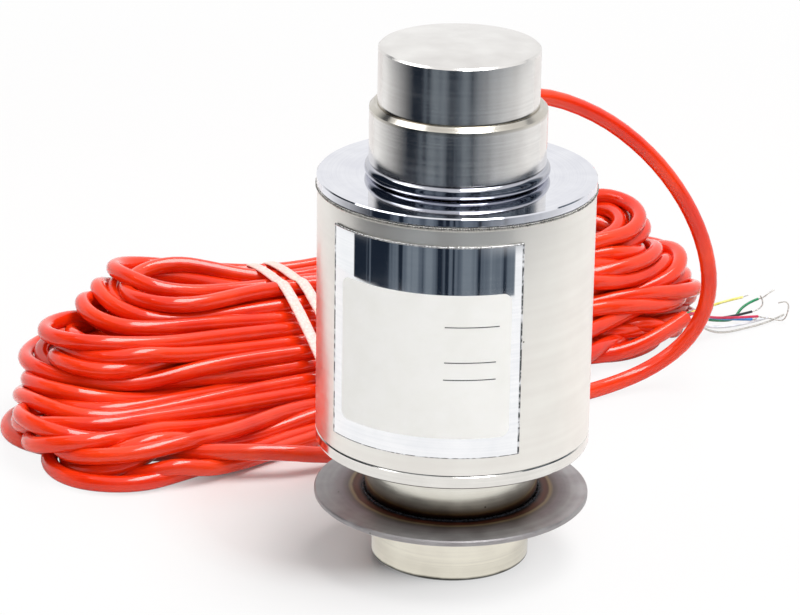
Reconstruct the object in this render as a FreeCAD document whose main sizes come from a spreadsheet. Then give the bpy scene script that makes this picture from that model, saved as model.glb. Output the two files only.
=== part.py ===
"""Column load cell: a turned steel column in a welded housing, with its tied signal cable.

Millimetres, +Z up. The origin is the point where the lower dome stands on the floor,
on the column's own axis. The gland is at the back (+Y) and the nameplate at the front.
"""
import FreeCAD, Part
import math
import os
import Sketcher
from FreeCAD import Placement, Rotation, Vector

os.makedirs("parts", exist_ok=True)
doc = FreeCAD.newDocument("column_load_cell")

# Driving dimensions, one named cell each
SIZES = {
    # the column, from the floor up
    "dome_radius": 200.0,
    "foot_radius": 22.0,
    "foot_length": 18.9,
    "rim_bevel": 0.5,
    "seat_step": 0.3,
    "lower_neck_step": 1.9,
    "neck_exposed": 15.0,
    "lower_neck_rise": 2.6,
    "gauge_step": 5.0,
    "root_radius": 4.5,
    "flat_depth": 2.0,
    "flat_lower_margin": 11.5,
    "flat_upper_margin": 8.0,
    "upper_neck_drop": 7.8,
    "upper_neck_step": 0.5,
    "collar_step": 2.2,
    "collar_length": 16.3,
    "collar_bevel": 1.2,
    "button_radius": 22.0,
    "button_length": 17.0,
    "undercut_depth": 0.2,
    "undercut_height": 0.3,
    # the sealed housing
    "housing_depth": 13.85,
    "tube_wall": 2.0,
    "tube_length": 70.9,
    "seam_height": 1.2,
    "seam_rise": 0.2,
    "fit_gap": 0.05,
    "edge_bevel": 0.3,
    "cover_overhang": 0.2,
    "cover_thickness": 2.5,
    "cover_spigot": 3.0,
    "cover_bore_gap": 1.0,
    "bellows_height": 3.9,
    "bellows_wall": 0.5,
    "bellows_lip": 1.1,
    "base_height": 3.9,
    "base_spigot": 4.0,
    "base_corner": 1.2,
    # the retaining plate on the foot
    "plate_radius": 38.35,
    "plate_thickness": 1.6,
    "plate_edge": 0.35,
    "weld_leg": 1.0,
    # nameplate and sticker, measured round the tube
    "nameplate_width": 57.0,
    "nameplate_rise": 5.4,
    "nameplate_drop": 5.5,
    "nameplate_thickness": 0.3,
    "nameplate_angle": 15.5,
    "label_side_margin": 3.5,
    "label_rise": 5.8,
    "label_drop": 13.4,
    "label_thickness": 0.12,
    "label_shift": 0.6,
    "label_corner": 2.5,
    # strain gauges and their wires
    "gauge_height": 12.0,
    "gauge_width": 9.0,
    "gauge_thickness": 0.2,
    "lead_radius": 0.5,
    "lead_solder_height": 2.0,
    "lead_inset": 1.4,
    # the converter board on the bottom cover
    "board_bore_gap": 2.6,
    "board_rim_gap": 1.55,
    "board_thickness": 1.6,
    "standoff_length": 10.6,
    "standoff_radius": 2.5,
    "screw_inset": 4.5,
    "screw_radius": 1.45,
    "screw_clearance": 0.05,
    "screw_grip": 5.0,
    "screw_head_radius": 2.75,
    "screw_head_height": 2.0,
    "screw_slot_width": 0.8,
    "screw_slot_depth": 0.9,
    "adc_chip_width": 10.0,
    "adc_chip_height": 1.6,
    "processor_chip_width": 7.0,
    "processor_chip_height": 1.2,
    "terminal_width": 16.0,
    "terminal_depth": 6.0,
    "terminal_height": 8.0,
    # the cable gland at the back
    "boss_radius": 9.0,
    "boss_clearance": 0.3,
    "boss_inset": 2.55,
    "boss_rise": 4.45,
    "thread_radius": 6.0,
    "flange_across": 15.0,
    "flange_length": 5.0,
    "gland_neck_length": 6.0,
    "nut_across": 14.0,
    "nut_length": 10.5,
    "nut_grip_length": 5.5,
    "nut_nose_wall": 2.4,
    "oring_section": 0.75,
    "oring_gap": 0.25,
    "seal_wall": 1.9,
    # the cable and its cores
    "cable_radius": 2.5,
    "cores_radius": 1.5,
    "core_radius": 0.45,
    "core_pitch": 1.05,
    "drain_radius": 0.35,
    "tie_width": 4.0,
    "tie_thickness": 0.8,
    "hank_left_end": 128.0,
    "hank_left_back": 80.0,
    "hank_right_end": 86.0,
    "hank_right_back": 175.0,
}


class Size:
    """A length that carries both its value and the expression that gives it."""

    def __init__(self, value, text):
        self.value = float(value)
        self.text = text

    def __add__(self, other):
        other = as_size(other)
        return Size(self.value + other.value, f"({self.text} + {other.text})")

    def __radd__(self, other):
        return as_size(other) + self

    def __sub__(self, other):
        other = as_size(other)
        return Size(self.value - other.value, f"({self.text} - {other.text})")

    def __rsub__(self, other):
        return as_size(other) - self

    def __mul__(self, other):
        other = as_size(other)
        return Size(self.value * other.value, f"({self.text} * {other.text})")

    def __rmul__(self, other):
        return as_size(other) * self

    def __truediv__(self, other):
        other = as_size(other)
        return Size(self.value / other.value, f"({self.text} / {other.text})")

    def __neg__(self):
        return Size(-self.value, f"(-{self.text})")


def as_size(value):
    return value if isinstance(value, Size) else Size(value, repr(float(value)))


def root(size):
    return Size(math.sqrt(size.value), f"sqrt({size.text})")


def make_sheet():
    """The spreadsheet of driving dimensions; returns each as a Size."""
    sheet = doc.addObject("Spreadsheet::Sheet", "sizes")
    sizes = {}
    for row, (name, value) in enumerate(SIZES.items(), start=1):
        sheet.set(f"A{row}", name)
        sheet.set(f"B{row}", str(value))
        sheet.setAlias(f"B{row}", name)
        sizes[name] = Size(value, f"sizes.{name}")
    doc.recompute()
    return sizes


size = make_sheet()
HALF_TURN = 180.0
FULL_TURN = 360.0
SAME_PLACE = 1e-4
SIDES = {"front": 0.0, "right": 90.0, "back": 180.0, "left": 270.0}

# Heights that several pieces share, from the floor up
plate_top = size["foot_length"] + size["plate_thickness"]
base_bottom = plate_top + size["neck_exposed"]
tube_bottom = base_bottom + size["base_height"]
base_top = tube_bottom + size["base_spigot"]
tube_top = tube_bottom + size["tube_length"]
cover_top = tube_top + size["cover_thickness"]
collar_bottom = cover_top + size["bellows_height"]
button_bottom = collar_bottom + size["collar_length"]
overall_height = button_bottom + size["button_length"]
lower_neck_top = base_top + size["lower_neck_rise"]
upper_neck_bottom = tube_top - size["upper_neck_drop"]
board_bottom = base_top + size["standoff_length"]
board_top = board_bottom + size["board_thickness"]
terminal_top = board_top + size["terminal_height"]
gland_height = tube_top - size["cover_spigot"] - size["boss_radius"] - size["boss_clearance"]

# Radii that several pieces share
seat_radius = size["foot_radius"] + size["seat_step"]
lower_neck = seat_radius + size["lower_neck_step"]
gauge_radius = size["foot_radius"] - size["gauge_step"]
upper_neck = size["button_radius"] - size["upper_neck_step"]
collar_radius = size["button_radius"] + size["collar_step"]
tube_radius = lower_neck + size["housing_depth"]
tube_inner = tube_radius - size["tube_wall"]
spigot_radius = tube_inner - size["fit_gap"]
cover_bore = upper_neck + size["cover_bore_gap"]
flat_distance = gauge_radius - size["flat_depth"]
gauge_face = flat_distance + size["gauge_thickness"]
board_inner = gauge_radius + size["board_bore_gap"]
board_outer = tube_inner - size["board_rim_gap"]
chip_circle = (board_inner + board_outer) / 2
screw_circle = board_outer - size["screw_inset"]
screw_hole = size["screw_radius"] + size["screw_clearance"]

# The gauge length between its two root arcs, with the flats and gauges on it
lower_root = lower_neck_top + size["root_radius"]
upper_root = upper_neck_bottom - (upper_neck - gauge_radius)
flat_bottom = lower_root + size["flat_lower_margin"]
flat_top = upper_root - size["flat_upper_margin"]
gauge_bottom = (flat_bottom + flat_top - size["gauge_height"]) / 2

# Places along the gland's axis, from the column's axis outward
boss_start = tube_inner - size["boss_inset"]
boss_end = tube_radius + size["boss_rise"]
flange_start = boss_end + 2 * size["oring_section"]
flange_end = flange_start + size["flange_length"]
gland_neck_end = flange_end + size["gland_neck_length"]
nut_end = flange_end + size["nut_length"]


def bind(item, path, length):
    """Ties one property of an object to the expression of a Size."""
    item.setExpression(path, as_size(length).text)


def new_body(label):
    body = doc.addObject("PartDesign::Body", label)
    body.Label = label
    return body


def origin_part(body, role):
    """One plane or axis of a body's own origin."""
    return next(item for item in body.Origin.OriginFeatures if item.Role == role)


def new_sketch(body, name, role, lift=None):
    """A sketch on one of the body's own origin planes, lifted along its normal."""
    sketch = body.newObject("Sketcher::SketchObject", name)
    sketch.AttachmentSupport = [(origin_part(body, role), "")]
    sketch.MapMode = "FlatFace"
    if lift is not None:
        sketch.AttachmentOffset = Placement(Vector(0, 0, lift.value), Rotation())
        bind(sketch, "AttachmentOffset.Base.z", lift)
    return sketch


def hold_point(sketch, edge, end, across, up):
    """Fixes one end of an edge at a place measured from the sketch's origin."""
    for kind, axis, length in (("DistanceX", -2, across), ("DistanceY", -1, up)):
        if abs(length.value) < SAME_PLACE:
            sketch.addConstraint(Sketcher.Constraint("PointOnObject", edge, end, axis))
            continue
        if length.value > 0:
            ends = (-1, 1, edge, end)
        else:
            ends = (edge, end, -1, 1)
            length = -length
        index = sketch.addConstraint(Sketcher.Constraint(kind, *ends, length.value))
        bind(sketch, f"Constraints[{index}]", length)


def draw_outline(sketch, corners, arcs=None):
    """A closed outline through the corners; arcs maps an edge's index to its centre."""
    arcs = arcs or {}
    corners = [(as_size(x), as_size(y)) for x, y in corners]
    places = [Vector(x.value, y.value, 0) for x, y in corners]
    tails = []
    for index, start in enumerate(places):
        finish = places[(index + 1) % len(places)]
        if index not in arcs:
            sketch.addGeometry(Part.LineSegment(start, finish))
            tails.append((1, 2))
            continue
        centre = Vector(*(as_size(c).value for c in arcs[index]), 0)
        first = math.atan2(start.y - centre.y, start.x - centre.x)
        last = math.atan2(finish.y - centre.y, finish.x - centre.x)
        circle = Part.Circle(centre, Vector(0, 0, 1), (start - centre).Length)
        if (last - first) % (2 * math.pi) < math.pi:
            sketch.addGeometry(Part.ArcOfCircle(circle, first, last))
            tails.append((1, 2))
        else:
            sketch.addGeometry(Part.ArcOfCircle(circle, last, first))
            tails.append((2, 1))
    for index, (start, finish) in enumerate(tails):
        following = (index + 1) % len(tails)
        join = Sketcher.Constraint("Coincident", index, finish, following, tails[following][0])
        sketch.addConstraint(join)
        hold_point(sketch, index, start, *corners[index])
    for index, (across, _) in arcs.items():
        across = as_size(across)
        if abs(across.value) < SAME_PLACE:
            sketch.addConstraint(Sketcher.Constraint("PointOnObject", index, 3, -2))
        else:
            held = sketch.addConstraint(
                Sketcher.Constraint("DistanceX", -1, 1, index, 3, across.value))
            bind(sketch, f"Constraints[{held}]", across)


def turned(label, corners, arcs=None, angle=None):
    """A body turned about its own Z axis from a half outline of (radius, height)."""
    body = new_body(label)
    sketch = new_sketch(body, f"{label}_outline", "XZ_Plane")
    draw_outline(sketch, corners, arcs)
    turning = body.newObject("PartDesign::Revolution", f"{label}_turning")
    turning.Profile = sketch
    turning.ReferenceAxis = (sketch, ["V_Axis"])
    if angle is None:
        turning.Angle = FULL_TURN
    else:
        turning.Midplane = True
        turning.Angle = angle.value
        bind(turning, "Angle", angle)
    return body


def ring(label, inner, outer, bottom, top):
    """A plain turned ring with square corners."""
    return turned(label, [(inner, bottom), (outer, bottom), (outer, top), (inner, top)])


def box_outline(width, bottom, top):
    """Corners of a rectangle centred on the sketch's upright axis."""
    half = width / 2
    return [(-half, bottom), (half, bottom), (half, top), (-half, top)]


def hexagon(across):
    """Corners of a hexagon of the given distance across flats."""
    corner = across / math.sqrt(3.0)
    turns = [math.radians(60.0 * step + 30.0) for step in range(6)]
    return [(corner * math.cos(turn), corner * math.sin(turn)) for turn in turns]


def pad(body, name, sketch, length):
    feature = body.newObject("PartDesign::Pad", name)
    feature.Profile = sketch
    feature.Length = length.value
    bind(feature, "Length", length)
    return feature


def pocket(body, name, sketch, length, outward=False):
    """Cuts against the sketch's normal, or along it when outward is set."""
    feature = body.newObject("PartDesign::Pocket", name)
    feature.Profile = sketch
    feature.Length = length.value
    bind(feature, "Length", length)
    feature.Reversed = outward
    return feature


def drill(body, name, centre, radius, lift, depth):
    """A round hole straight down from a height above the body's base plane."""
    sketch = new_sketch(body, f"{name}_circle", "XY_Plane", lift)
    x, y = (as_size(c) for c in centre)
    circle = Part.Circle(Vector(x.value, y.value, 0), Vector(0, 0, 1), radius.value)
    sketch.addGeometry(circle)
    hold_point(sketch, 0, 3, x, y)
    held = sketch.addConstraint(Sketcher.Constraint("Radius", 0, radius.value))
    bind(sketch, f"Constraints[{held}]", radius)
    return pocket(body, name, sketch, depth)


def make_column():
    """One turning: domed button, collar, necks, gauge length with four flats, domed foot."""
    height = overall_height
    dome = size["dome_radius"]
    button = size["button_radius"]
    foot = size["foot_radius"]
    bevel = size["rim_bevel"]
    undercut = button - size["undercut_depth"]
    undercut_top = button_bottom + size["undercut_height"]
    top_rim = button - bevel
    top_rim_height = height - dome + root(dome * dome - top_rim * top_rim)
    foot_rim = foot - bevel
    foot_rim_height = dome - root(dome * dome - foot_rim * foot_rim)
    root_edge = gauge_radius + size["root_radius"]
    edge = size["edge_bevel"]
    corners = [
        (0, 0),
        (foot_rim, foot_rim_height),
        (foot, foot_rim_height + bevel),
        (foot, size["foot_length"]),
        (seat_radius, size["foot_length"]),
        (seat_radius, plate_top),
        (lower_neck, plate_top),
        (lower_neck, lower_neck_top),
        (root_edge, lower_neck_top),
        (gauge_radius, lower_root),
        (gauge_radius, upper_root),
        (upper_neck, upper_neck_bottom),
        (upper_neck, collar_bottom),
        (collar_radius - edge, collar_bottom),
        (collar_radius, collar_bottom + edge),
        (collar_radius, button_bottom - size["collar_bevel"]),
        (collar_radius - size["collar_bevel"], button_bottom),
        (undercut, button_bottom),
        (undercut, undercut_top - size["undercut_depth"]),
        (button, undercut_top),
        (button, top_rim_height - bevel),
        (top_rim, top_rim_height),
        (0, height),
    ]
    arcs = {
        0: (0, dome),
        8: (root_edge, lower_root),
        10: (upper_neck, upper_root),
        21: (0, height - dome),
    }
    column = turned("load_column", corners, arcs)
    flat = new_sketch(column, "flat_outline", "XZ_Plane", flat_distance)
    draw_outline(flat, box_outline(2 * gauge_radius, flat_bottom, flat_top))
    first_flat = pocket(column, "gauge_flat", flat, gauge_radius, outward=True)
    pattern = column.newObject("PartDesign::PolarPattern", "four_flats")
    pattern.Originals = [first_flat]
    pattern.Axis = (origin_part(column, "Z_Axis"), [""])
    pattern.Angle = FULL_TURN
    pattern.Occurrences = len(SIDES)
    column.Tip = pattern
    return column


def make_housing():
    """Tube with its top seam, polished cover, sealing bellows and bottom cover."""
    edge = size["edge_bevel"]
    seam = tube_radius + size["seam_rise"]
    seam_bottom = tube_top - size["seam_height"]
    sleeve = turned("outer_sleeve", [
        (tube_inner, tube_bottom),
        (tube_radius - edge, tube_bottom),
        (tube_radius, tube_bottom + edge),
        (tube_radius, seam_bottom),
        (seam, seam_bottom + size["seam_rise"]),
        (seam, tube_top - size["seam_rise"]),
        (tube_radius - edge, tube_top),
        (tube_inner, tube_top),
    ])
    hole = new_sketch(sleeve, "gland_hole_circle", "XZ_Plane")
    boss_hole = size["boss_radius"] + size["fit_gap"]
    circle = Part.Circle(Vector(0, gland_height.value, 0), Vector(0, 0, 1), boss_hole.value)
    hole.addGeometry(circle)
    hold_point(hole, 0, 3, as_size(0), gland_height)
    held = hole.addConstraint(Sketcher.Constraint("Radius", 0, boss_hole.value))
    bind(hole, f"Constraints[{held}]", boss_hole)
    pocket(sleeve, "gland_hole", hole, 2 * tube_radius)

    rim = tube_radius + size["cover_overhang"]
    turned("top_cover", [
        (cover_bore, tube_top - size["cover_spigot"]),
        (spigot_radius, tube_top - size["cover_spigot"]),
        (spigot_radius, tube_top),
        (rim - edge, tube_top),
        (rim, tube_top + edge),
        (rim, cover_top - edge),
        (rim - edge, cover_top),
        (cover_bore, cover_top),
    ])

    roll = size["bellows_height"] / 2
    middle = cover_top + roll
    wall = size["bellows_wall"]
    roll_centre = collar_radius + size["bellows_lip"] - roll
    lip_edge = cover_bore + size["edge_bevel"]
    turned("upper_bellows", [
        (lip_edge, cover_top),
        (roll_centre, cover_top),
        (roll_centre + roll, middle),
        (roll_centre, collar_bottom),
        (lip_edge, collar_bottom),
        (lip_edge, collar_bottom - wall),
        (roll_centre, collar_bottom - wall),
        (roll_centre + roll - wall, middle),
        (roll_centre, cover_top + wall),
        (lip_edge, cover_top + wall),
    ], {
        1: (roll_centre, middle),
        2: (roll_centre, middle),
        6: (roll_centre, middle),
        7: (roll_centre, middle),
    })

    corner = size["base_corner"]
    bore = lower_neck + size["fit_gap"]
    turned("bottom_cover", [
        (bore, base_bottom),
        (tube_radius - corner, base_bottom),
        (tube_radius, base_bottom + corner),
        (tube_radius, tube_bottom - edge),
        (tube_radius - edge, tube_bottom),
        (spigot_radius, tube_bottom),
        (spigot_radius, base_top),
        (bore, base_top),
    ], {1: (tube_radius - corner, base_bottom + corner)})


def make_retaining_plate():
    """Thin round plate on the foot, against the neck's shoulder, and its weld bead."""
    rim = size["plate_radius"]
    edge = size["plate_edge"]
    bore = seat_radius + size["fit_gap"]
    turned("retaining_plate", [
        (bore, size["foot_length"]),
        (rim - edge, size["foot_length"]),
        (rim, size["foot_length"] + edge),
        (rim, plate_top - edge),
        (rim - edge, plate_top),
        (bore, plate_top),
    ])
    neck = lower_neck + size["fit_gap"]
    leg = size["weld_leg"]
    turned("plate_weld", [
        (neck, plate_top),
        (neck + leg, plate_top),
        (neck, plate_top + leg),
    ], {1: (neck, plate_top)})


def edges_of_length(shape, length):
    """Names of the straight edges of one length, for a fillet."""
    return [f"Edge{number}" for number, edge in enumerate(shape.Edges, start=1)
            if abs(edge.Length - length) < SAME_PLACE and len(edge.Vertexes) == 2]


def wrapped_sheet(label, inner, thickness, bottom, height, width, centre_angle, corner=None):
    """A thin sheet wrapped on a tube, its middle turned to the left of the front."""
    outer = inner + thickness
    angle = width / inner * (HALF_TURN / math.pi)
    top = bottom + height
    sheet = turned(label, [(inner, bottom), (outer, bottom), (outer, top), (inner, top)], angle=angle)
    if corner is not None:
        doc.recompute()
        square = sheet.Tip
        rounding = sheet.newObject("PartDesign::Fillet", f"{label}_corners")
        rounding.Base = (square, edges_of_length(square.Shape, thickness.value))
        rounding.Radius = corner.value
        bind(rounding, "Radius", corner)
    front = -90.0
    sheet.Placement = Placement(Vector(0, 0, 0), Rotation(Vector(0, 0, 1), front - centre_angle.value))
    bind(sheet, "Placement.Rotation.Angle", front - centre_angle)
    return sheet


def make_nameplate():
    """Polished metal plate on the tube, and the white sticker on the plate."""
    nameplate_bottom = tube_bottom + size["nameplate_rise"]
    nameplate_height = size["tube_length"] - size["nameplate_rise"] - size["nameplate_drop"]
    wrapped_sheet("nameplate", tube_radius, size["nameplate_thickness"], nameplate_bottom,
                  nameplate_height, size["nameplate_width"], size["nameplate_angle"])
    label_height = nameplate_height - size["label_rise"] - size["label_drop"]
    wrapped_sheet("label", tube_radius + size["nameplate_thickness"], size["label_thickness"],
                  nameplate_bottom + size["label_rise"], label_height,
                  size["nameplate_width"] - 2 * size["label_side_margin"],
                  size["nameplate_angle"] - size["label_shift"], size["label_corner"])


def turn_about_column(item, angle):
    item.Placement = Placement(Vector(0, 0, 0), Rotation(Vector(0, 0, 1), angle))


# Each arc of a wire's path takes this share of the shorter run beside it
RUN_SHARE = 0.45
VOLUME_TOLERANCE = 0.01


def smooth_path(points):
    """Straight runs joined by tangent arcs, with the smallest arc radius of the path."""
    points = [Vector(*point) for point in points]
    runs = [b - a for a, b in zip(points, points[1:])]
    edges = []
    radii = []
    start = points[0]
    for index in range(1, len(points) - 1):
        before = Vector(runs[index - 1]).normalize()
        after = Vector(runs[index]).normalize()
        half_turn = before.getAngle(after) / 2
        setback = RUN_SHARE * min(runs[index - 1].Length, runs[index].Length)
        radius = setback / math.tan(half_turn)
        inward = (after - before).normalize()
        corner = points[index]
        first = corner - before * setback
        middle = corner + inward * (radius / math.cos(half_turn) - radius)
        last = corner + after * setback
        edges.append(Part.LineSegment(start, first).toShape())
        edges.append(Part.Arc(first, middle, last).toShape())
        radii.append(radius)
        start = last
    edges.append(Part.LineSegment(start, points[-1]).toShape())
    return Part.Wire(edges), radii


def tube_shape(points, radius, label):
    """A round tube along a path, checked against its section times its length."""
    path, radii = smooth_path(points)
    along = Vector(*points[1]) - Vector(*points[0])
    section = Part.Wire(Part.Circle(Vector(*points[0]), along, radius).toShape())
    solid = path.makePipeShell([section], True, False)
    expected = math.pi * radius ** 2 * path.Length
    if abs(solid.Volume - expected) > VOLUME_TOLERANCE * expected:
        raise ValueError(f"{label}: volume {solid.Volume:.1f}, expected {expected:.1f}")
    print(f"{label}: length {path.Length:.1f}, radii {[round(r, 1) for r in radii]}")
    return solid


def tube(label, points, radius):
    item = doc.addObject("Part::Feature", label)
    item.Label = label
    item.Shape = tube_shape(points, radius, label)
    return item


def make_gauges():
    """Foil rosettes on the four flats, each with its wires to the board below."""
    for side, angle in SIDES.items():
        gauge = new_body(f"strain_gauge_{side}")
        foil = new_sketch(gauge, f"foil_{side}", "XZ_Plane", flat_distance)
        top = gauge_bottom + size["gauge_height"]
        draw_outline(foil, box_outline(size["gauge_width"], gauge_bottom, top))
        pad(gauge, f"foil_{side}_pad", foil, size["gauge_thickness"])
        turn_about_column(gauge, angle)
        height = (gauge_bottom + size["lead_solder_height"]).value
        circle = (board_inner + size["lead_inset"]).value
        wire = tube(f"gauge_lead_{side}",
                    [(0, -gauge_face.value, height), (0, -circle, height), (0, -circle, board_top.value)],
                    size["lead_radius"].value)
        turn_about_column(wire, angle)


# Angles of the board's parts about the column, from +X towards the back
SCREW_ANGLES = [30.0, 150.0, 270.0]
TERMINAL_ANGLE = 90.0
ADC_CHIP_ANGLE = 200.0
PROCESSOR_CHIP_ANGLE = 340.0


def on_circle(radius, angle):
    """A place on a circle about the column, from a radius and an angle in degrees."""
    turn = math.radians(angle)
    return radius * math.cos(turn), radius * math.sin(turn)


def make_board():
    """Ring board on three standoffs, with its chips and terminal block."""
    board = ring("circuit_board", board_inner, board_outer, board_bottom, board_top)
    for number, angle in enumerate(SCREW_ANGLES, start=1):
        place = on_circle(screw_circle, angle)
        drill(board, f"board_hole_{number}", place, screw_hole, board_top, size["board_thickness"])

    for number, angle in enumerate(SCREW_ANGLES, start=1):
        standoff = ring(f"board_standoff_{number}", screw_hole, size["standoff_radius"],
                        base_top, board_bottom)
        head = size["screw_head_radius"]
        head_top = board_top + size["screw_head_height"]
        tip = board_bottom - size["screw_grip"]
        screw = turned(f"board_screw_{number}", [
            (0, tip), (size["screw_radius"], tip), (size["screw_radius"], board_top),
            (head, board_top), (head, head_top - size["edge_bevel"]),
            (head - size["edge_bevel"], head_top), (0, head_top)])
        slot = new_sketch(screw, f"slot_{number}", "XY_Plane", head_top)
        half = size["screw_slot_width"] / 2
        draw_outline(slot, [(-head, -half), (head, -half), (head, half), (-head, half)])
        pocket(screw, f"slot_cut_{number}", slot, size["screw_slot_depth"])
        x, y = on_circle(screw_circle, angle)
        for item in (standoff, screw):
            item.Placement = Placement(Vector(x.value, y.value, 0), Rotation())
            bind(item, "Placement.Base.x", x)
            bind(item, "Placement.Base.y", y)

    block("adc_chip", size["adc_chip_width"], size["adc_chip_width"],
          size["adc_chip_height"], ADC_CHIP_ANGLE)
    block("processor_chip", size["processor_chip_width"], size["processor_chip_width"],
          size["processor_chip_height"], PROCESSOR_CHIP_ANGLE)
    block("terminal_block", size["terminal_depth"], size["terminal_width"],
          size["terminal_height"], TERMINAL_ANGLE)


def block(label, depth, width, height, angle):
    """A rectangular component on the board, facing outward at an angle."""
    item = new_body(label)
    outline = new_sketch(item, f"{label}_outline", "XY_Plane", board_top)
    inner = chip_circle - depth / 2
    outer = chip_circle + depth / 2
    half = width / 2
    draw_outline(outline, [(inner, -half), (outer, -half), (outer, half), (inner, half)])
    pad(item, f"{label}_pad", outline, height)
    turn_about_column(item, angle)


def lay_back(item):
    """Turns a piece made along its own Z to point to the back at the gland's height."""
    item.Placement = Placement(Vector(0, 0, gland_height.value), Rotation(Vector(1, 0, 0), -90.0))
    bind(item, "Placement.Base.z", gland_height)


def make_gland():
    """Boss in the tube's back, and the gland screwed into it; lengths run from the axis."""
    thread = size["thread_radius"]
    cable = size["cable_radius"] + size["fit_gap"]
    thread_bore = thread + size["fit_gap"]
    lay_back(ring("gland_boss", thread_bore, size["boss_radius"], boss_start, boss_end))

    section = size["oring_section"]
    centre = thread + size["oring_gap"] + section
    lay_back(turned("gland_oring", [
        (centre, boss_end), (centre + section, boss_end + section),
        (centre, flange_start), (centre - section, boss_end + section),
    ], {edge: (centre, boss_end + section) for edge in range(4)}))

    seal = size["cable_radius"] + size["seal_wall"]
    seal_seat = seal + size["fit_gap"]
    body = turned("gland_body", [
        (cable, boss_start),
        (thread, boss_start),
        (thread, gland_neck_end),
        (seal_seat, gland_neck_end),
        (seal_seat, flange_end),
        (cable, flange_end),
    ])
    flange = new_sketch(body, "flange_hexagon", "XY_Plane", flange_start)
    draw_outline(flange, hexagon(size["flange_across"]))
    pad(body, "flange", flange, size["flange_length"])
    drill(body, "cable_bore", (0, 0), cable, flange_end, flange_end - boss_start)
    lay_back(body)

    lay_back(ring("gland_seal", size["cable_radius"], seal, flange_end, gland_neck_end))

    grip_end = flange_end + size["nut_grip_length"]
    shoulder = size["nut_across"] / 2
    cavity_end = gland_neck_end + size["edge_bevel"]
    nut = turned("gland_nut", [
        (thread_bore, flange_end),
        (shoulder, flange_end),
        (shoulder, grip_end),
        (cable + size["nut_nose_wall"], nut_end),
        (cable, nut_end),
        (cable, cavity_end),
        (thread_bore, cavity_end),
    ])
    grip = new_sketch(nut, "nut_hexagon", "XY_Plane", flange_end)
    draw_outline(grip, hexagon(size["nut_across"]))
    pad(nut, "nut_grip", grip, size["nut_grip_length"])
    drill(nut, "nut_bore", (0, 0), thread_bore, grip_end, size["nut_grip_length"])
    lay_back(nut)


# The free cable's route, chosen by hand: out of the gland, round to the right and down,
# then along the floor behind the housing, and over a low turn into the front of the hank
LEAD_ROUTE = [
    (0, nut_end.value, gland_height.value), (0, 79, gland_height.value),
    (6, 99, 100), (24, 117, 100.5), (44.5, 126, 91.2), (61, 129.5, 77.8), (73.2, 130, 62),
    (80.4, 129.5, 45.5), (82.2, 130, 30), (76.8, 130.8, 15.8), (65.2, 129.3, 6.2),
    (50.5, 121.5, 2.6), (35.5, 111, 2.6), (13, 93, 2.7), (-10, 76, 2.6), (-32, 60.5, 3.2),
    (-50, 52.5, 7.8), (-73, 51.5, 7.8), (-94, 58, 4.2),
]

# The last stretch, from the hank to the cut end of the jacket
TAIL_ROUTE = [(45, 143, 4), (57, 146.5, 4.6), (69, 154, 7.6), (77.5, 163, 10.5)]

# The hank's outline at places along it, higher at the back than at the front:
# (along, sideways, height of its centre, half width, half thickness, lean in degrees)
HANK_START = Vector(-size["hank_left_end"].value, size["hank_left_back"].value, 0)
HANK_END = Vector(size["hank_right_end"].value, size["hank_right_back"].value, 0)
TIED_SECTION = (7.5, 14.5, 40.5, 19, 10)
HANK_SECTIONS = [
    (-9, -18, 5, 18, 5, 0), (2, -10, 9, 36, 11.5, 6), (12, -9, 12, 40, 15.5, 10),
    (24, -7, 13.5, 44.5, 16.5, 12), (38, -2, 15.5, 47, 17.5, 15), (58, 2, 15, 46, 18, 15),
    (78, *TIED_SECTION), (106, *TIED_SECTION), (135, 12, 14.5, 38, 18.5, 12),
    (165, 15.5, 15, 36.5, 18, 14), (190, 20, 16, 34, 18.3, 15), (207, 22, 17, 31, 19, 18),
    (219, 24, 17, 27, 18.5, 18), (229, 24, 15, 20.5, 16.5, 12), (239, 22, 12, 13, 10, 12),
]
HANK_FLOOR = 0.1
TIE_PLACES = [84, 96]
BEYOND = 400.0


def hank_frame():
    """The hank's level direction along, and its level direction across."""
    along = (HANK_END - HANK_START).normalize()
    across = Vector(-along.y, along.x, 0)
    return along, across


def hank_outline(place, sideways, height, half_width, half_thickness, lean, shrink=0.0):
    """One upright elliptical section of the pile of turns."""
    along, across = hank_frame()
    tilt = math.radians(lean)
    wide = across * math.cos(tilt) + Vector(0, 0, math.sin(tilt))
    thick = Vector(0, 0, math.cos(tilt)) - across * math.sin(tilt)
    centre = HANK_START + along * place + across * sideways + Vector(0, 0, height)
    tip = centre + wide * (half_width - shrink)
    crown = centre + thick * (half_thickness - shrink)
    return Part.Wire(Part.Ellipse(tip, crown, centre).toShape())


def above(shape, height):
    """The part of a shape that lies above a height."""
    corner = Vector(-BEYOND, -BEYOND, height - BEYOND)
    return shape.cut(Part.makeBox(2 * BEYOND, 2 * BEYOND, BEYOND, corner))


def tied_slice(place, shrink):
    """A slice of the hank as wide as the tie, smaller all round by shrink."""
    along, _ = hank_frame()
    face = Part.Face(hank_outline(place - size["tie_width"].value / 2, *TIED_SECTION, shrink))
    return above(face.extrude(along * size["tie_width"].value), HANK_FLOOR + shrink)


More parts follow.
